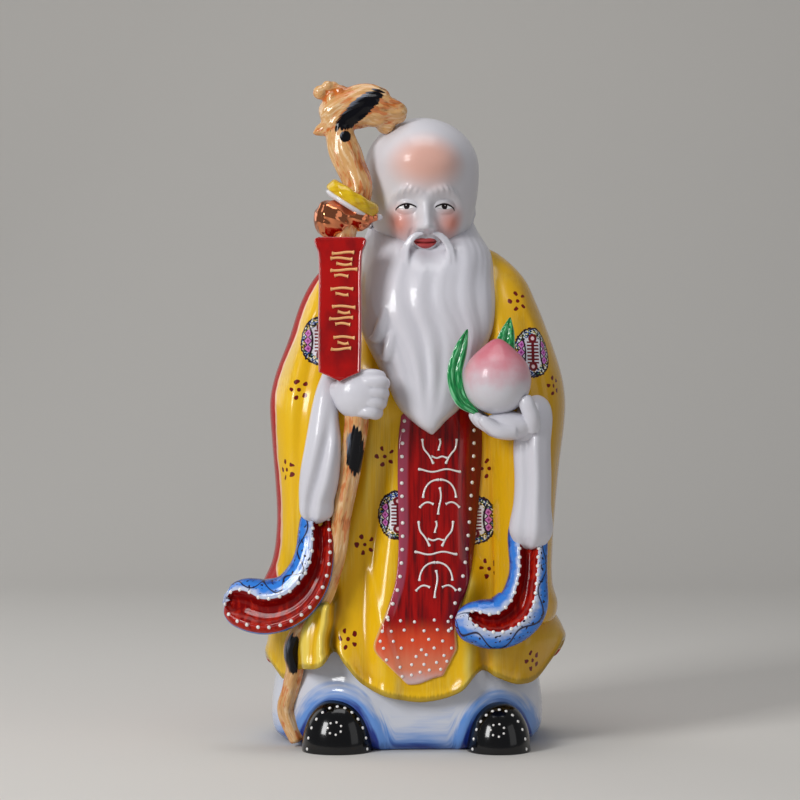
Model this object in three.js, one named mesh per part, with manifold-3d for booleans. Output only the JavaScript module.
// A standing longevity elder in glazed porcelain, cast and fired as one piece.
// The figure holds a gnarled staff in the right fist and a peach on the open left hand.
// Millimetres, +Z up, the face looks along -Y, and the origin is the middle of the underside.
import * as THREE from "three";
import { mergeVertices } from "three/addons/utils/BufferGeometryUtils.js";
import Module from "manifold-3d";

const wasm = await Module();
wasm.setup();

// Driving sizes.
const FIGURE_HEIGHT = 450; // underside to the top knob of the staff
const BASE_WIDTH = 188; // white under-robe, side to side near the floor
const BASE_DEPTH = 150; // white under-robe, front to back near the floor
const HEM_OVERHANG = 7; // how far the yellow robe stands out over the under-robe
const HEAD_WIDTH = 79;
const HEAD_DEPTH = 84;
const PEACH_DIAMETER = 45;
const PEACH_SEAT = 2.6; // how deep the peach is set in the palm
const LEAF_THICKNESS = 2.6;
const STAFF_DIAMETER = 16;
const STAFF_TOP_DIAMETER = 21;
const PLAQUE_WIDTH = 29;
const PLAQUE_LENGTH = 96;
const PLAQUE_THICKNESS = 10;
const PLAQUE_SINK = 2; // how deep the tablet's back is set into the staff
const GOURD_DIAMETER = 26;
const TIE_DIAMETER = 39;
const TIE_THICKNESS = 12;
const SASH_WIDTH = 57;
const SASH_THICKNESS = 2.4;
const FINGER_DIAMETER = 9.2;
const LEFT_SHOE_WIDTH = 48; // the shoe on the viewer's left
const RIGHT_SHOE_WIDTH = 43;
const LEFT_SHOE_HEIGHT = 34.5;
const RIGHT_SHOE_HEIGHT = 32;

// Pose, outline and carving are written for a figure 450 mm tall and grow with the height.
const SHARE = FIGURE_HEIGHT / 450;
const TURN = Math.PI * 2;

const { lerp, smoothstep } = THREE.MathUtils;
const at = (x, y, z) => new THREE.Vector3(x, y, z).multiplyScalar(SHARE);
const signedPower = (value, power) => Math.sign(value) * Math.abs(value) ** power;
const bell = (distance, width) => Math.exp(-((distance / width) ** 2));

// A smooth function through rows of [position, value, value, ...].
function through(rows) {
  const values = rows[0].length - 1;
  const curve = new THREE.CubicInterpolant(
    rows.map((row) => row[0]),
    rows.flatMap((row) => row.slice(1)),
    values,
  );
  return (position) => Array.from(curve.evaluate(position));
}

// The same, for rows drawn in millimetres at the drawn height.
function drawn(rows) {
  const curve = through(rows);
  return (position) => curve(position / SHARE).map((value) => value * SHARE);
}

// A closed body from its vertices and faces, turned the right way out.
function bodyOf(vertices, faces) {
  let volume = 0;
  for (const [a, b, c] of faces) volume += vertices[a].dot(vertices[b].clone().cross(vertices[c]));
  const outward = volume > 0 ? faces : faces.map(([a, b, c]) => [a, c, b]);
  return new wasm.Manifold(
    new wasm.Mesh({
      numProp: 3,
      vertProperties: new Float32Array(vertices.flatMap((v) => [v.x, v.y, v.z])),
      triVerts: new Uint32Array(outward.flat()),
    }),
  );
}

// Rings of points closed by one point at each end: point(around, along), both from 0 to 1.
function skin(around, stops, point) {
  const vertices = [point(0, stops[0])];
  for (const along of stops.slice(1, -1))
    for (let i = 0; i < around; i++) vertices.push(point(i / around, along));
  vertices.push(point(0, stops.at(-1)));
  const rings = stops.length - 2;
  const last = vertices.length - 1;
  const index = (ring, i) => 1 + ring * around + (i % around);
  const faces = [];
  for (let i = 0; i < around; i++) {
    faces.push([0, index(0, i + 1), index(0, i)]);
    faces.push([last, index(rings - 1, i), index(rings - 1, i + 1)]);
    for (let ring = 0; ring < rings - 1; ring++) {
      const [a, b] = [index(ring, i), index(ring, i + 1)];
      const [c, d] = [index(ring + 1, i), index(ring + 1, i + 1)];
      faces.push([a, b, d], [a, d, c]);
    }
  }
  return bodyOf(vertices, faces);
}

// Evenly spaced stops from 0 to 1.
const even = (count) => Array.from({ length: count + 1 }, (_, i) => i / count);

// A three.js geometry as a solid.
function solidOf(geometry) {
  const bare = geometry.clone();
  bare.deleteAttribute("normal");
  bare.deleteAttribute("uv");
  const merged = mergeVertices(bare, 1e-4);
  const place = merged.getAttribute("position");
  const vertices = Array.from({ length: place.count }, (_, i) =>
    new THREE.Vector3().fromBufferAttribute(place, i),
  );
  const index = Array.from(merged.index.array);
  const faces = [];
  for (let i = 0; i < index.length; i += 3) {
    const [a, b, c] = index.slice(i, i + 3);
    if (a !== b && b !== c && c !== a) faces.push([a, b, c]);
  }
  return bodyOf(vertices, faces);
}

// An egg: a ball with its own half size each way, below and above its middle.
function egg(centre, half, around = 16, rows = 10, foot = half.z) {
  return skin(around, even(rows), (u, v) => {
    const rise = (v - 0.5) * Math.PI;
    const ring = Math.cos(rise);
    return new THREE.Vector3(
      centre.x + half.x * ring * Math.cos(TURN * u),
      centre.y + half.y * ring * Math.sin(TURN * u),
      centre.z + (rise > 0 ? half.z : foot) * Math.sin(rise),
    );
  });
}

// A body swept along a curve. size(t) gives the half width across the view and the half depth
// towards the viewer, and carve(t, side) adds depth to the front, side running from -1 to 1.
function swept(points, size, { around = 12, steps = 12, squareness = 1, carve = () => 0 } = {}) {
  const curve = new THREE.CatmullRomCurve3(points, false, "centripetal");
  const towardsViewer = new THREE.Vector3(0, -1, 0);
  return skin(around, even(steps), (u, t) => {
    const middle = curve.getPoint(t);
    const tangent = curve.getTangent(t);
    const depthWay = towardsViewer.clone().addScaledVector(tangent, -towardsViewer.dot(tangent));
    depthWay.normalize();
    const sideWay = tangent.clone().cross(depthWay);
    const [width, depth] = size(t);
    const side = signedPower(Math.cos(TURN * u), squareness);
    const front = signedPower(Math.sin(TURN * u), squareness);
    const relief = front > 0 ? carve(t, side) * front : 0;
    return middle
      .addScaledVector(sideWay, width * side)
      .addScaledVector(depthWay, depth * front + relief);
  });
}

// A round body along a curve that swells and thins with its table of [share, radius].
function limb(points, radii, detail = {}) {
  const radius = through(radii);
  return swept(points, (t) => [radius(t)[0], radius(t)[0]], detail);
}

// A body lofted upwards: section(z) gives left, right, front and back.
function lofted(stops, section, { around = 32, squareness = 0.85, relief = () => 0, floor } = {}) {
  return skin(around, stops, (u, z) => {
    const [left, right, front, back] = section(z);
    const side = signedPower(Math.cos(TURN * u), squareness);
    const depth = signedPower(Math.sin(TURN * u), squareness);
    const x = lerp(left, right, (side + 1) / 2);
    const y = depth < 0 ? -depth * front : depth * back;
    const reach = Math.abs(depth);
    return new THREE.Vector3(x, y + relief(x, z, depth) * reach, floor ? floor(x, y, z) : z);
  });
}

// White under-robe: a low drum that rounds in at the foot and swells over each shoe.
const skirtTop = 96 * SHARE;
const shoeMiddles = { left: -46.5 * SHARE, right: 61 * SHARE };
const skirtShare = through([
  [0, 0.93],
  [0.08, 0.985],
  [0.24, 1],
  [0.55, 0.96],
  [1, 0.9],
]);

function skirtSection(z) {
  const [share] = skirtShare(Math.min(z / skirtTop, 1));
  return [-BASE_WIDTH / 2, BASE_WIDTH / 2, -BASE_DEPTH / 2, BASE_DEPTH / 2].map((v) => v * share);
}

function skirt() {
  const swell = (x, z, depth) =>
    depth < 0
      ? -7 * SHARE * smoothstep(skirtTop - z, 0.35 * skirtTop, 0.8 * skirtTop) *
        (bell(x - shoeMiddles.left, 0.62 * LEFT_SHOE_WIDTH) +
          bell(x - shoeMiddles.right, 0.62 * RIGHT_SHOE_WIDTH) -
          0.5)
      : 0;
  const stops = [0, 0.0001, 0.07, 0.2, 0.42, 0.7, 1].map((v) => v * skirtTop);
  return skin(30, stops, (u, z) => {
    const pole = z === 0 || z === skirtTop;
    const [left, right, front, back] = pole ? [0, 0, 0, 0] : skirtSection(z);
    const side = signedPower(Math.cos(TURN * u), 0.85);
    const depth = signedPower(Math.sin(TURN * u), 0.85);
    const x = lerp(left, right, (side + 1) / 2);
    const y = depth < 0 ? -depth * front : depth * back;
    const level = z < 0.001 * skirtTop ? 0 : z;
    return new THREE.Vector3(x, y + (pole ? 0 : swell(x, z, depth) * Math.abs(depth)), level);
  });
}

// Yellow robe: rows of height, left, right, front and back.
const robeRows = drawn([
  [34, -97, 101, -80, 78],
  [55, -98, 105, -79, 77],
  [74, -96, 109, -77, 75],
  [100, -88, 94, -71, 71],
  [150, -76, 82, -62, 65],
  [200, -72, 80, -58, 61],
  [250, -66, 78, -57, 59],
  [285, -64, 80, -54, 55],
  [310, -56, 73, -48, 49],
  [326, -45, 62, -40, 40],
  [338, -28, 46, -28, 30],
  [344, -8, 26, -12, 20],
]);

// The robe stands clear of the under-robe where it hangs over it.
function robeSection(z) {
  const clear = HEM_OVERHANG * smoothstep(skirtTop - z, 0, 0.4 * skirtTop);
  const inner = skirtSection(z).map((side) => side + Math.sign(side) * clear);
  return robeRows(z).map((side, i) => (z < skirtTop && Math.abs(side) < Math.abs(inner[i]) ? inner[i] : side));
}

// Height of the hem along the front, by x, with its notches and lobes.
const frontHem = drawn([
  [-98, 56],
  [-85, 46],
  [-70, 52],
  [-57, 55],
  [-51, 66],
  [-41, 53],
  [-28, 44.5],
  [0, 35],
  [17, 34],
  [38, 41],
  [50, 53],
  [60, 49],
  [79, 43.5],
  [92, 48],
  [103, 68],
]);
const BACK_HEM = 50;

function hemHeight(x, depth) {
  const [front] = frontHem(x);
  const back = (BACK_HEM + 5 * Math.cos((x / SHARE) * 0.11)) * SHARE;
  return lerp(back, front, smoothstep(-depth, -0.25, 0.1));
}

// Each fold of the front: [amplitude, half width, rows of height and x]. A minus sign is a valley.
const frontFolds = [
  [5, 9, [[40, -36], [75, -47], [100, -57], [130, -44], [175, -30], [215, -22], [240, -18]]],
  [-8, 5, [[50, -52], [70, -52], [100, -59], [112, -60]]],
  [5, 7, [[50, -64], [80, -62], [104, -58]]],
  [4, 9, [[45, -14], [70, -17], [100, -14], [150, -10], [200, -11]]],
  [-3, 7, [[60, -27], [100, -29], [150, -20], [205, -14]]],
  [-7, 7, [[48, 51], [70, 49], [90, 46]]],
  [5, 8, [[36, 36], [60, 44], [84, 47], [110, 44]]],
  [4, 10, [[44, 78], [70, 86], [90, 92]]],
  [-3, 8, [[100, 50], [150, 47], [200, 48], [230, 52]]],
].map(([amplitude, width, rows]) => ({
  amplitude: amplitude * SHARE,
  width: width * SHARE,
  low: rows[0][0] * SHARE,
  high: rows.at(-1)[0] * SHARE,
  x: drawn(rows),
}));

const FOLD_FADE = 22 * SHARE;

function frontRelief(x, z) {
  let relief = 0;
  for (const fold of frontFolds) {
    const [middle] = fold.x(THREE.MathUtils.clamp(z, fold.low, fold.high));
    const fade = smoothstep(fold.high + FOLD_FADE - z, 0, FOLD_FADE);
    relief -= fold.amplitude * fade * bell(x - middle, fold.width);
  }
  return relief;
}

// Soft upright folds down the back, deepest at the hem.
function backRelief(x, z) {
  const depth = 3.4 * SHARE * smoothstep(300 * SHARE - z, 0, 260 * SHARE);
  return depth * Math.cos((x / SHARE) * 0.16 + (z / SHARE) * 0.006);
}

const ROBE_TOP = 344 * SHARE;
const ROBE_SQUARENESS = 0.86;
const HEM_LIP = 5 * SHARE;

function robeRelief(x, z, depth) {
  return depth < 0 ? frontRelief(x, z) : backRelief(x, z);
}

// y of the robe's front surface under a point of the front view.
function robeFront(x, z) {
  const [left, right, front] = robeSection(z);
  const side = THREE.MathUtils.clamp((x - left) / (right - left) * 2 - 1, -0.999, 0.999);
  const turn = Math.acos(signedPower(side, 1 / ROBE_SQUARENESS));
  const depth = Math.sin(turn) ** ROBE_SQUARENESS;
  return depth * (front + frontRelief(x, z));
}

function robe() {
  const rises = [0, 0.06, 0.13, 0.22, 0.33, 0.46, 0.6, 0.74, 0.86, 0.94];
  const inner = [-3, -2, -1];
  return skin(42, [...inner, ...rises, 1], (u, v) => {
    // More rings of points fall on the carved front than on the back.
    const turn = TURN * (u + 0.045 * Math.sin(2 * TURN * u));
    const side = signedPower(Math.cos(turn), ROBE_SQUARENESS);
    const depth = signedPower(Math.sin(turn), ROBE_SQUARENESS);
    const [low, high] = robeSection(60 * SHARE);
    const hem = hemHeight(lerp(low, high, (side + 1) / 2), depth);
    const z = v < 0 ? hem + (v < -1 ? HEM_LIP * (-1 - v) * 1.6 : 0) : lerp(hem, ROBE_TOP, v);
    if (v === -3) return new THREE.Vector3(0, 0, 62 * SHARE);
    const [left, right, front, back] = robeSection(Math.max(z, hem + HEM_LIP));
    const shrink = v === -2 ? 0.8 : v === -1 ? 0.955 : v === 0 ? 0.99 : 1;
    const x = lerp(left, right, (side * shrink + 1) / 2);
    const y = depth < 0 ? -depth * front : depth * back;
    return new THREE.Vector3(x, (y + robeRelief(x, z, depth) * Math.abs(depth)) * shrink, z);
  });
}

// A pleat that stands out of the front where the cloth is gathered beside the staff.
function pleat() {
  const width = through([[0, 2, 2], [0.3, 7, 6], [0.7, 9.8, 8], [0.98, 9.4, 7], [1, 8, 5]]);
  return swept(
    [at(-54, -67, 102), at(-60, -74, 92), at(-63, -77, 77), at(-61.3, -78, 57)],
    (t) => width(t).map((size) => size * SHARE),
    { around: 8, steps: 7 },
  );
}

// A wide sleeve hanging from the shoulder: rows of height, inner edge, outer edge, front and back.
const rightSleeveRows = [
  [80, 60, 96, -54, 0],
  [86, 50, 101, -64, 14],
  [95, 50, 103, -68, 20],
  [109, 54, 99.5, -71, 22],
  [136, 56, 99.5, -73, 26],
  [164, 56, 101.6, -74, 30],
  [192, 55, 104.4, -74, 34],
  [220, 52, 108, -74, 38],
  [234, 50, 108.6, -73, 40],
  [250, 48, 106.6, -69, 41],
  [276, 44, 98.8, -60, 40],
  [303, 38, 88.6, -46, 33],
  [318, 36, 81.4, -36, 26],
  [331, 36, 69.4, -24, 18],
  [341, 42, 56, -8, 8],
];
const leftSleeveRows = [
  [92, -100, -74, -50, -10],
  [98, -103, -62, -62, 8],
  [109, -99, -50, -70, 16],
  [124, -92.4, -44, -73, 20],
  [150, -89.1, -40, -75, 26],
  [178, -90.2, -38, -75, 30],
  [206, -92.6, -36, -75, 34],
  [234, -94, -34, -73, 37],
  [250, -91, -32, -68, 38],
  [276, -81.6, -30, -60, 38],
  [303, -72.6, -24, -52, 32],
  [318, -64.4, -22, -42, 26],
  [330, -54, -22, -28, 18],
  [340, -42, -28, -8, 8],
];

function wideSleeve(rows) {
  const section = drawn(rows);
  const [low, high] = [rows[0][0] * SHARE, rows.at(-1)[0] * SHARE];
  const stops = even(10).map((v) => lerp(low, high, 0.5 - 0.5 * Math.cos(v * Math.PI * 0.98 + 0.03)));
  return skin(12, [low, ...stops.slice(1, -1), high], (u, z) => {
    const [left, right, front, back] = section(z);
    const middle = (front + back) / 2;
    const side = signedPower(Math.cos(TURN * u), 0.85);
    const depth = signedPower(Math.sin(TURN * u), 0.85);
    const end = z === low || z === high ? 0 : 1;
    return new THREE.Vector3(
      lerp(left, right, (end * side + 1) / 2),
      middle + end * depth * ((back - front) / 2),
      z,
    );
  });
}

// The turned-out mouth of a sleeve: two rolled bands with a lining channel between them.
function cuff(points, widths, channel) {
  const width = through(widths);
  const middle = through(channel);
  const carve = (t, side) => {
    const [lining, halfLining] = middle(t);
    const off = Math.abs(side - lining) / halfLining;
    const dip = -7 * SHARE * (1 - smoothstep(off, 0.2, 1.05));
    return dip * smoothstep(width(t)[0], 0, 12 * SHARE);
  };
  return swept(points, (t) => [width(t)[0] * SHARE, width(t)[1] * SHARE], {
    around: 13,
    steps: 12,
    squareness: 0.8,
    carve,
  });
}

const leftCuffPath = [
  at(-61, -60, 172),
  at(-61, -72, 149.5),
  at(-61.6, -78, 130.5),
  at(-66, -78, 116),
  at(-76, -77, 103),
  at(-92, -73, 96.5),
  at(-108, -67.5, 98),
  at(-122.8, -62, 101),
];
const leftCuffWidths = [
  [0, 8, 6],
  [0.14, 11.3, 9],
  [0.29, 13.4, 11],
  [0.43, 15.4, 12.5],
  [0.57, 17, 14],
  [0.71, 18.4, 14],
  [0.86, 17.3, 12.5],
  [0.93, 14.2, 10],
  [0.97, 9.8, 7],
  [1, 0, 0],
];
const leftCuffChannel = [
  [0, -0.32, 0.44],
  [0.29, -0.32, 0.44],
  [0.57, -0.2, 0.5],
  [0.86, -0.04, 0.56],
  [1, 0, 0.6],
];
const rightCuffPath = [
  at(80, -62, 156),
  at(80, -74, 136),
  at(79.5, -80, 115),
  at(75, -82, 97),
  at(61, -84, 87),
  at(46, -84, 87),
  at(31.5, -82, 89.5),
];
const rightCuffWidths = [
  [0, 10, 5],
  [0.08, 14, 9],
  [0.3, 13.5, 12],
  [0.52, 17.5, 14],
  [0.7, 17, 14],
  [0.86, 14.5, 12],
  [0.94, 11, 9],
  [0.98, 6.5, 6],
  [1, 0, 0],
];
const rightCuffChannel = [
  [0, -0.13, 0.5],
  [0.45, 0.1, 0.42],
  [0.77, 0.14, 0.31],
  [0.86, 0.32, 0.24],
  [1, 0.45, 0.1],
];

// White inner sleeves that hang from each wrist into the cuff.
function innerSleeves() {
  const left = through([[0, 6, 6], [0.17, 7.5, 8], [0.33, 9.5, 9.5], [0.5, 11.8, 11], [0.67, 13, 11], [0.83, 11.8, 10], [0.95, 10, 8], [1, 5, 4]]);
  const right = through([[0, 8, 7], [0.12, 12.5, 10], [0.4, 12.3, 11], [0.7, 12.4, 11], [0.88, 14.2, 11], [1, 8, 5]]);
  const groove = (t, side) => -5 * SHARE * bell(side - lerp(0.75, 0.05, t), 0.3) * smoothstep(t, 0.25, 0.8);
  const ridge = (t, side) => 2.5 * SHARE * (bell(side + 0.15, 0.25) - bell(side - 0.3, 0.25)) * smoothstep(t, 0.1, 0.4);
  return [
    swept(
      [at(-50, -72, 252), at(-53.5, -78, 238), at(-55, -81, 222), at(-55.5, -82, 206), at(-58, -82, 184), at(-60, -80, 168), at(-59.5, -78, 152)],
      (t) => left(t).map((v) => v * SHARE),
      { around: 12, steps: 9, carve: groove },
    ),
    swept(
      [at(87, -60, 238), at(85, -74, 224), at(82.5, -80, 204), at(83, -81, 180), at(82, -81, 154), at(81, -78, 135)],
      (t) => right(t).map((v) => v * SHARE),
      { around: 12, steps: 9, carve: ridge },
    ),
  ];
}

// Front panel that hangs from the beard to the hem and lies on the robe.
const sashMiddle = drawn([
  [46, 12.5],
  [58, 9],
  [68, 5.5],
  [80, 6.5],
  [95, 11],
  [110, 16],
  [128, 19],
  [180, 21.5],
  [228, 23],
]);
const sashShare = through([
  [0, 0.45],
  [0.02, 0.54],
  [0.076, 0.78],
  [0.13, 0.97],
  [0.2, 0.91],
  [0.28, 0.86],
  [0.5, 0.9],
  [0.85, 1],
  [1, 0.95],
]);
const SASH_FOOT = 44 * SHARE;
const SASH_TOP = 229 * SHARE;

function sash() {
  const stops = [0, 0.0005, 0.03, 0.076, 0.13, 0.2, 0.28, 0.42, 0.56, 0.7, 0.85, 0.9995, 1];
  return skin(8, stops, (u, v) => {
    const z = lerp(SASH_FOOT, SASH_TOP, v);
    const end = v === 0 || v === 1 ? 0 : 1;
    const side = signedPower(Math.cos(TURN * u), 0.5);
    const depth = signedPower(Math.sin(TURN * u), 0.5);
    const [middle] = sashMiddle(z);
    const [share] = sashShare(v);
    const x = middle + (end * side * share * SASH_WIDTH) / 2;
    const thickness = depth < 0 ? SASH_THICKNESS : 6 * SHARE;
    return new THREE.Vector3(x, robeFront(x, z) + end * depth * thickness, z);
  });
}

// Head: a tall bald dome over a plain, evenly proportioned face that looks a little to one side.
const headMiddle = at(10, -20, 392);
const CROWN = 36 * SHARE;
const JAW = 72 * SHARE;
const FACE_TURN = 0.07;
const FACE_THIRD = 24 * SHARE; // brow to nose base, and nose base to chin
const BROW_HEIGHT = 372 * SHARE;
const NOSE_BASE = BROW_HEIGHT - FACE_THIRD;
const MOUTH_HEIGHT = NOSE_BASE - FACE_THIRD / 3;
const EYE_WIDTH = HEAD_WIDTH / 5.3;
const EYE_HEIGHT = BROW_HEIGHT - 0.3 * FACE_THIRD;

function faceRelief(across, z) {
  const off = Math.abs(across);
  const mm = SHARE;
  const dome = 5.5 * mm * (1 - smoothstep(Math.hypot(across, (z - 398 * mm) * 1.15), 17 * mm, 27 * mm));
  const noseRise = smoothstep(BROW_HEIGHT - z, 0, FACE_THIRD) * smoothstep(z, NOSE_BASE - 4 * mm, NOSE_BASE + mm);
  const nose = 8.5 * mm * noseRise * bell(across, 0.36 * EYE_WIDTH);
  const wings = 2.6 * mm * bell(off - 0.4 * EYE_WIDTH, 3 * mm) * bell(z - NOSE_BASE - mm, 3 * mm);
  const socket = -3 * mm * bell(off - EYE_WIDTH, 0.6 * EYE_WIDTH) * bell(z - EYE_HEIGHT, 5 * mm);
  const brow = 2 * mm * bell(off - EYE_WIDTH, 0.7 * EYE_WIDTH) * bell(z - BROW_HEIGHT - 2 * mm, 3.5 * mm);
  const cheek = 3 * mm * bell(off - 1.3 * EYE_WIDTH, 9 * mm) * bell(z - NOSE_BASE - mm, 9 * mm);
  const muzzle = 6 * mm * bell(across, 15 * mm) * bell(z - MOUTH_HEIGHT + 4 * mm, 13 * mm);
  const lips = 1.6 * mm * bell(across, 9 * mm) * bell(z - MOUTH_HEIGHT, 3.5 * mm);
  return dome + nose + wings + socket + brow + cheek + muzzle + lips;
}

function head() {
  return skin(26, even(19), (u, v) => {
    const rise = (v - 0.5) * Math.PI;
    const ring = Math.cos(rise);
    const z = headMiddle.z + (rise > 0 ? CROWN : JAW) * Math.sin(rise);
    // Half of the points lie on the third of the turn that holds the face.
    const spread = (u - 0.5) * TURN;
    const turn = spread - 0.42 * Math.sin(spread);
    const relief = Math.cos(turn) > 0 ? faceRelief((turn * HEAD_WIDTH) / 2, z) * Math.min(1, ring * 1.6) : 0;
    const heading = turn + FACE_TURN;
    const halfDepth = Math.cos(heading) > 0 ? 0.475 * HEAD_DEPTH : 0.525 * HEAD_DEPTH;
    return new THREE.Vector3(
      headMiddle.x + Math.sin(heading) * (ring * (HEAD_WIDTH / 2) + relief),
      headMiddle.y - Math.cos(heading) * (ring * halfDepth + relief),
      z,
    );
  });
}

function ears() {
  return [-1, 1].map((side) =>
    egg(
      new THREE.Vector3(
        headMiddle.x + side * (0.455 * HEAD_WIDTH),
        headMiddle.y + (4 + side * 4) * SHARE,
        367 * SHARE,
      ),
      at(4.5, 7, 12),
      7,
      5,
      15 * SHARE,
    ),
  );
}

// Beard with the side hair: rows of height, left, right, front and back.
const beardSection = drawn([
  [210.5, 15, 19, -73, -60],
  [219, 4, 24.5, -76.5, -48],
  [227, -4.5, 30, -77, -42],
  [247, -14.5, 42, -76, -40],
  [265, -24, 51, -74.5, -38],
  [281, -31, 57.5, -73, -30],
  [301, -34, 60.5, -71, -8],
  [318, -34, 59.8, -66, 16],
  [329, -33.5, 59, -61, 25],
  [337, -32, 57, -55, 25],
  [344, -30, 53, -47, 22],
  [350, -28, 49.5, -37, 19],
  [358, -25, 45.5, -25, 16],
  [368, -14, 36, -12, 6],
]);
const LOCKS = 7;
const MOUTH_RECESS = 6.5 * SHARE; // how far the beard gives way around the mouth

function beardRelief(x, z) {
  const [left, right] = beardSection(z);
  const share = (x - left) / (right - left);
  const sway = 0.09 * Math.sin((z / SHARE) * 0.055) + 0.03 * Math.sin((z / SHARE) * 0.13);
  const lock = Math.cos(TURN * LOCKS * (share + sway));
  const depth = 2 * SHARE * smoothstep(346 * SHARE - z, 0, 22 * SHARE) * smoothstep(z, 210.5 * SHARE, 236 * SHARE);
  return -depth * lock;
}

function beard() {
  const low = 210.5 * SHARE;
  const high = 368 * SHARE;
  const heights = [0, 0.03, 0.1, 0.18, 0.27, 0.37, 0.48, 0.59, 0.7, 0.8, 0.88, 0.94, 1];
  return skin(34, heights.map((v) => lerp(low, high, v)), (u, z) => {
    const [left, right, front, back] = beardSection(z);
    const turn = TURN * (u + 0.05 * Math.sin(2 * TURN * u));
    const side = signedPower(Math.cos(turn), 0.85);
    const depth = signedPower(Math.sin(turn), 0.85);
    const end = z === low || z === high ? 0 : 1;
    const x = lerp(left, right, (end * side + 1) / 2);
    const middle = (front + back) / 2;
    const relief = depth < 0 && end ? beardRelief(x, z) * -depth : 0;
    const mouth = bell(x - headMiddle.x - 3.8 * SHARE, 13 * SHARE) * smoothstep(z, 326 * SHARE, 337 * SHARE);
    const recess = depth < 0 ? MOUTH_RECESS * mouth : 0;
    return new THREE.Vector3(x, middle + end * depth * ((back - front) / 2) + relief + recess, z);
  });
}

// Two lock tips that curl out of the beard on the staff side.
function sideLocks() {
  return [
    limb([at(-12, -65, 304), at(-17, -69.5, 285), at(-21, -70.5, 275.5), at(-27, -68, 275)],
      [[0, 2 * SHARE], [0.45, 4 * SHARE], [0.75, 3 * SHARE], [1, 0.4 * SHARE]], { around: 5, steps: 6 }),
    limb([at(-6, -67.5, 292), at(-11, -72, 273), at(-14, -72, 262.5), at(-19.5, -69, 262)],
      [[0, 2 * SHARE], [0.45, 4 * SHARE], [0.75, 3 * SHARE], [1, 0.4 * SHARE]], { around: 5, steps: 6 }),
  ];
}

// Staff: one bent stem from the floor through the fist to the burl.
const staffPath = [
  at(-71, -52, 3),
  at(-80, -48, 22),
  at(-78.5, -49.5, 36),
  at(-75.5, -54, 52),
  at(-77, -60, 68),
  at(-70, -65, 84),
  at(-57, -72, 100),
  at(-48.7, -76, 124),
  at(-43.4, -77, 154),
  at(-38, -79, 188),
  at(-34, -82, 221),
  at(-38, -80, 250),
  at(-43, -71, 300),
  at(-42, -63, 345),
  at(-33, -54, 373),
  at(-39, -50, 393),
  at(-45, -47, 411),
  at(-43, -45, 428),
];

function staff() {
  const thin = STAFF_DIAMETER / 2;
  const thick = STAFF_TOP_DIAMETER / 2;
  const radii = [
    [0, 0.6 * thin],
    [0.03, 0.7 * thin],
    [0.12, 0.7 * thin],
    [0.18, 0.76 * thin],
    [0.24, 0.66 * thin],
    [0.3, 0.7 * thin],
    [0.47, 0.8 * thin],
    [0.6, thin],
    [0.75, thin],
    [0.87, 0.96 * thick],
    [0.91, 1.04 * thick],
    [0.965, 0.84 * thick],
    [1, 0.7 * thick],
  ];
  return limb(staffPath, radii, { around: 7, steps: 27 });
}

// The burl: a broad flat bough with a thorn and a cluster of knobs.
function burl() {
  const bough = through([[0, 6.4, 5], [0.1, 11.6, 8], [0.34, 13.8, 9.6], [0.52, 14.6, 9.4], [0.62, 13.6, 9], [0.72, 9.6, 8], [0.87, 7.6, 7], [1, 3.4, 3.4]]);
  const knob = (x, y, z, radius) => egg(at(x, y, z), at(radius, radius, radius), 6, 4);
  return [
    swept(
      [at(-57, -46, 420), at(-50, -46, 424.5), at(-41, -46, 430), at(-28, -45, 433.5), at(-16, -43, 431), at(-7, -41, 430), at(0, -39, 431.5)],
      (t) => bough(t).map((size) => (size * STAFF_TOP_DIAMETER) / 21),
      { around: 9, steps: 9 },
    ),
    limb([at(-16, -41, 430), at(-14.5, -39, 421), at(-14, -37, 415)], [[0, 8 * SHARE], [0.6, 6.5 * SHARE], [1, 3 * SHARE]], { around: 7, steps: 4 }),
    limb([at(-48, -46, 421), at(-56, -46.5, 417.5), at(-64, -47, 414)], [[0, 8 * SHARE], [0.55, 5 * SHARE], [1, SHARE]], { around: 6, steps: 5 }),
    limb([at(-44, -46, 428), at(-49.5, -46, 437), at(-52.5, -46.5, 443)], [[0, 8 * SHARE], [0.6, 6 * SHARE], [1, 4 * SHARE]], { around: 7, steps: 4 }),
    knob(-59, -47, 442, 4.9),
    knob(-50.5, -45, 445, 5),
    knob(-45, -46, 442.5, 4.8),
    knob(-54, -48, 446.2, 3.8),
    knob(-18, -44, 439.2, 6.6),
  ];
}

// Hexagonal tablet that lies along the staff, flared at the top and pointed below.
function plaque() {
  const top = 342 * SHARE;
  const reach = STAFF_DIAMETER / 2 + PLAQUE_THICKNESS / 2 - PLAQUE_SINK;
  const behind = (z) => staffPath.reduce((a, b) => (Math.abs(b.z - z) < Math.abs(a.z - z) ? b : a)).y;
  const [topDepth, tipDepth] = [behind(top), behind(250 * SHARE)].map((y) => y - reach);
  const half = PLAQUE_WIDTH / 2;
  const rows = [
    [0, 0, 0.5],
    [0.001, 1.16, 0.7],
    [0.03, 1.2, 1],
    [0.07, 1.12, 1],
    [0.13, 1, 1],
    [0.935, 0.95, 1],
    [0.999, 0.06, 0.7],
    [1, 0, 0.5],
  ];
  const corners = [[1, 0.35], [0.62, 1], [-0.62, 1], [-1, 0.35], [-1, -1], [1, -1]];
  return skin(corners.length, rows.map((row) => row[0]), (u, v) => {
    const [side, front] = corners[Math.round(u * corners.length) % corners.length];
    const [, width, depth] = rows.find((row) => row[0] === v);
    const end = v === 0 || v === 1 ? 0 : 1;
    return new THREE.Vector3(
      -44.5 * SHARE + end * side * half * width,
      lerp(topDepth, tipDepth, v) - (end * front * depth * PLAQUE_THICKNESS) / 2,
      top - v * PLAQUE_LENGTH,
    );
  });
}

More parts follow.
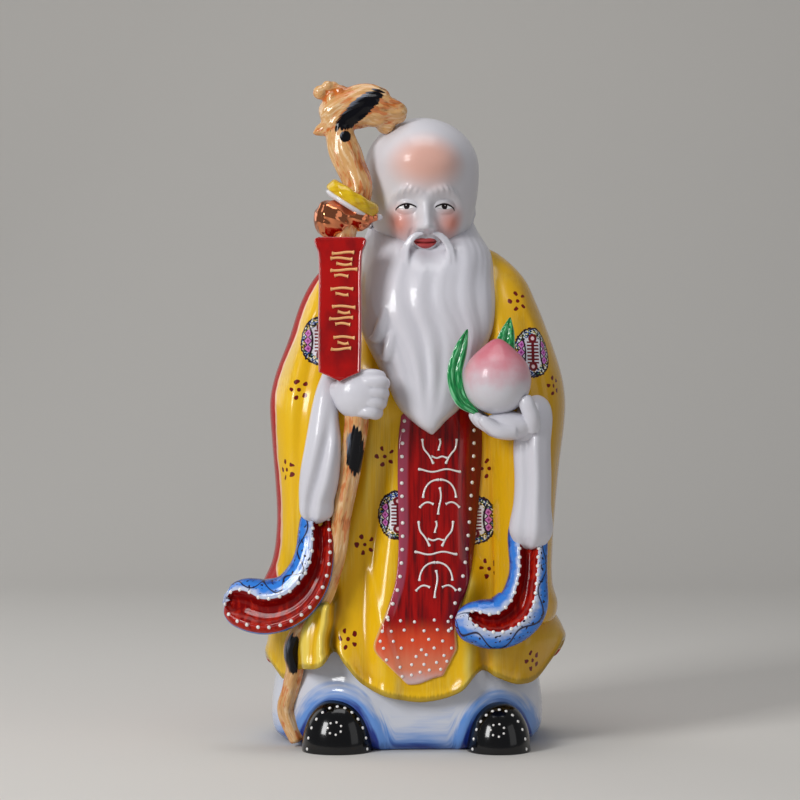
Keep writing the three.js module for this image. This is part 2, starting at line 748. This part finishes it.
// A turned body about a line between two points, from its profile of [share along, share of radius].
function turned(from, to, radius, profile, segments = 16) {
  const length = from.distanceTo(to);
  const outline = profile.map(([along, share]) => new THREE.Vector2(share * radius, along * length));
  const geometry = new THREE.LatheGeometry(outline, segments);
  const way = new THREE.Vector3().subVectors(to, from).normalize();
  const turn = new THREE.Quaternion().setFromUnitVectors(new THREE.Vector3(0, 1, 0), way);
  return solidOf(geometry.applyQuaternion(turn).translate(from.x, from.y, from.z));
}

function gourd() {
  const outline = [
    [0, 0],
    [0.03, 0.45],
    [0.12, 0.86],
    [0.26, 1],
    [0.4, 0.88],
    [0.52, 0.62],
    [0.6, 0.62],
    [0.72, 0.66],
    [0.84, 0.46],
    [0.94, 0.18],
    [1, 0],
  ];
  return turned(at(-62.6, -66, 354), at(-18.6, -60, 356.5), GOURD_DIAMETER / 2, outline, 12);
}

// The cloth tie above the gourd, a thick slanting ring.
function tie() {
  const middle = at(-37, -57, 368.5);
  const way = new THREE.Vector3(0.53, -0.1, 0.85).normalize();
  const ring = (radius, thickness) => {
    const round = even(4).map((v) => {
      const turn = (v - 0.5) * Math.PI;
      return [0.5 + 0.5 * Math.sin(turn), 0.78 + 0.22 * Math.cos(turn)];
    });
    const profile = [[0, 0], ...round, [1, 0]];
    return turned(
      middle.clone().addScaledVector(way, -thickness / 2),
      middle.clone().addScaledVector(way, thickness / 2),
      radius,
      profile,
      11,
    );
  };
  return ring(TIE_DIAMETER / 2, TIE_THICKNESS);
}

// Fist round the staff: the back of the hand, four bent fingers and the thumb.
function fist() {
  const thick = FINGER_DIAMETER / 2;
  const fingers = [0, 1, 2, 3].map((i) => {
    const z = 245.5 - 6.4 * i;
    const reach = [0.5, 0, -1.5, -4][i];
    return limb(
      [at(-36, -87, z), at(-26, -91.5, z), at(-18 + reach, -89, z - 0.5), at(-15.5 + reach, -81, z - 1)],
      [[0, thick], [0.5, thick], [0.85, 0.95 * thick], [1, 0.3 * thick]],
      { around: 6, steps: 6 },
    );
  });
  const thumb = limb(
    [at(-46, -82, 249), at(-34, -90, 252), at(-24, -90, 252), at(-17, -84, 250)],
    [[0, thick], [0.7, thick], [1, 0.4 * thick]],
    { around: 6, steps: 6 },
  );
  const back = egg(at(-32.5, -83.5, 237.5), at(18, 12.5, 17), 12, 7);
  const wrist = limb([at(-51, -74, 240), at(-46, -80, 239), at(-40, -84, 238)], [[0, 6.5 * SHARE], [1, 9 * SHARE]], { around: 8, steps: 4 });
  return [back, wrist, thumb, ...fingers];
}

// Open hand under the peach: palm, four fingers side by side and the thumb.
const palm = at(67, -86, 217);
const PALM_HALF_HEIGHT = 9.6 * SHARE;

function openHand() {
  const thick = FINGER_DIAMETER / 2;
  const fingers = [0, 1, 2, 3].map((i) => {
    const y = -97 + 7 * i;
    const reach = [2.5, 0, 0.5, 3][i];
    return limb(
      [at(72, y + 2, 215), at(60, y, 215), at(50 + reach, y, 218.5), at(42.5 + reach, y, 225)],
      [[0, 1.2 * thick], [0.4, 1.15 * thick], [0.8, thick], [1, 0.4 * thick]],
      { around: 6, steps: 5 },
    );
  });
  const thumb = limb(
    [at(81, -88, 214), at(81, -94, 223), at(78.5, -95.5, 230), at(76, -94, 236.5)],
    [[0, 1.5 * thick], [0.5, 1.15 * thick], [0.9, 1.05 * thick], [1, 0.4 * thick]],
    { around: 7, steps: 6 },
  );
  const wrist = limb([at(74, -86, 216), at(82, -80, 215), at(86, -70, 222)], [[0, 9 * SHARE], [1, 11 * SHARE]], { around: 8, steps: 4 });
  return [egg(palm, at(18, 14, 9.6), 12, 6), wrist, thumb, ...fingers];
}

// Peach with a pointed tip and a cleft, seated in the palm, and its two leaves.
function peach() {
  const radius = PEACH_DIAMETER / 2;
  const seat = palm.z + PALM_HALF_HEIGHT - PEACH_SEAT;
  const middle = new THREE.Vector3(59 * SHARE, -87 * SHARE, seat + 1.02 * radius);
  const fruit = skin(15, even(10), (u, v) => {
    const rise = (v - 0.5) * Math.PI;
    const ring = Math.cos(rise) ** (rise > 0 ? 1.04 : 0.96);
    const cleft = 1 - 0.05 * bell(((u + 0.32) % 1) - 0.5, 0.05) * Math.max(0, ring);
    const tip = 0.22 * smoothstep(rise, 0.6, Math.PI / 2) ** 2;
    return new THREE.Vector3(
      middle.x + radius * ring * cleft * Math.cos(TURN * u) + tip * 2 * SHARE,
      middle.y + radius * ring * cleft * Math.sin(TURN * u),
      middle.z + radius * (Math.sin(rise) + tip),
    );
  });
  // A leaf's points are drawn from the middle of the peach, in shares of its radius.
  const leaf = (points, widths) => {
    const width = through(widths);
    const path = points.map(([x, y, z]) => new THREE.Vector3(x, y, z).multiplyScalar(radius).add(middle));
    return swept(path, (t) => [width(t)[0] * radius, LEAF_THICKNESS / 2], {
      around: 6,
      steps: 9,
      carve: (t, side) => -0.3 * LEAF_THICKNESS * bell(side, 0.3),
    });
  };
  return [
    fruit,
    leaf(
      [[-0.56, 0.02, -0.97], [-1.03, -0.04, -0.6], [-1.24, -0.04, 0.15], [-1.08, 0.02, 0.85], [-0.86, 0.13, 1.5]],
      [[0, 0.07], [0.25, 0.2], [0.5, 0.23], [0.8, 0.18], [1, 0.03]],
    ),
    leaf(
      [[0.13, 0.42, 0.42], [0.22, 0.33, 0.9], [0.32, 0.36, 1.4], [0.41, 0.49, 1.86]],
      [[0, 0.27], [0.35, 0.31], [0.7, 0.2], [1, 0.02]],
    ),
  ];
}

// Round shoe toes that look out from under the skirt.
const SHOE_SOLE = 8 * SHARE; // height of a toe's widest ring
const SHOE_MIDDLE_Y = -63 * SHARE;
const SHOE_REACH = 25 * SHARE;

function shoes() {
  const toe = (x, width, height) =>
    skin(13, even(6), (u, v) => {
      const rise = Math.max((v - 0.5) * Math.PI, -0.31);
      const ring = v === 0 ? 0 : Math.cos(rise);
      return new THREE.Vector3(
        x + (width / 2) * ring * Math.cos(TURN * u),
        SHOE_MIDDLE_Y + SHOE_REACH * ring * Math.sin(TURN * u),
        Math.max(0, SHOE_SOLE + (height - SHOE_SOLE) * Math.sin(rise)),
      );
    });
  return [
    toe(shoeMiddles.left, LEFT_SHOE_WIDTH, LEFT_SHOE_HEIGHT),
    toe(shoeMiddles.right, RIGHT_SHOE_WIDTH, RIGHT_SHOE_HEIGHT),
  ];
}

function figure() {
  const parts = [
    skirt(),
    robe(),
    pleat(),
    wideSleeve(leftSleeveRows),
    wideSleeve(rightSleeveRows),
    cuff(leftCuffPath, leftCuffWidths, leftCuffChannel),
    cuff(rightCuffPath, rightCuffWidths, rightCuffChannel),
    ...innerSleeves(),
    sash(),
    head(),
    ...ears(),
    beard(),
    ...sideLocks(),
    staff(),
    ...burl(),
    plaque(),
    gourd(),
    tie(),
    ...fist(),
    ...openHand(),
    ...peach(),
    ...shoes(),
  ];
  const joined = parts.reduce((whole, part) => whole.add(part)).decompose();
  joined.sort((a, b) => b.volume() - a.volume());
  // Anything beside the one body can only be a speck shut in between two skins.
  if (joined.some((body, i) => i > 0 && Math.abs(body.volume()) > 1)) throw new Error("a part hangs free");
  return joined[0];
}

function geometryOf(solid) {
  const { vertProperties, triVerts } = solid.getMesh();
  const geometry = new THREE.BufferGeometry();
  geometry.setAttribute("position", new THREE.BufferAttribute(vertProperties, 3));
  geometry.setIndex(new THREE.BufferAttribute(triVerts, 1));
  geometry.computeVertexNormals();
  return geometry;
}

const porcelain = new THREE.MeshStandardMaterial({ color: 0xd9a520, roughness: 0.18, metalness: 0 });
const statue = new THREE.Mesh(geometryOf(figure()), porcelain);
statue.name = "figure";

const group = new THREE.Group();
group.add(statue);

export default group;
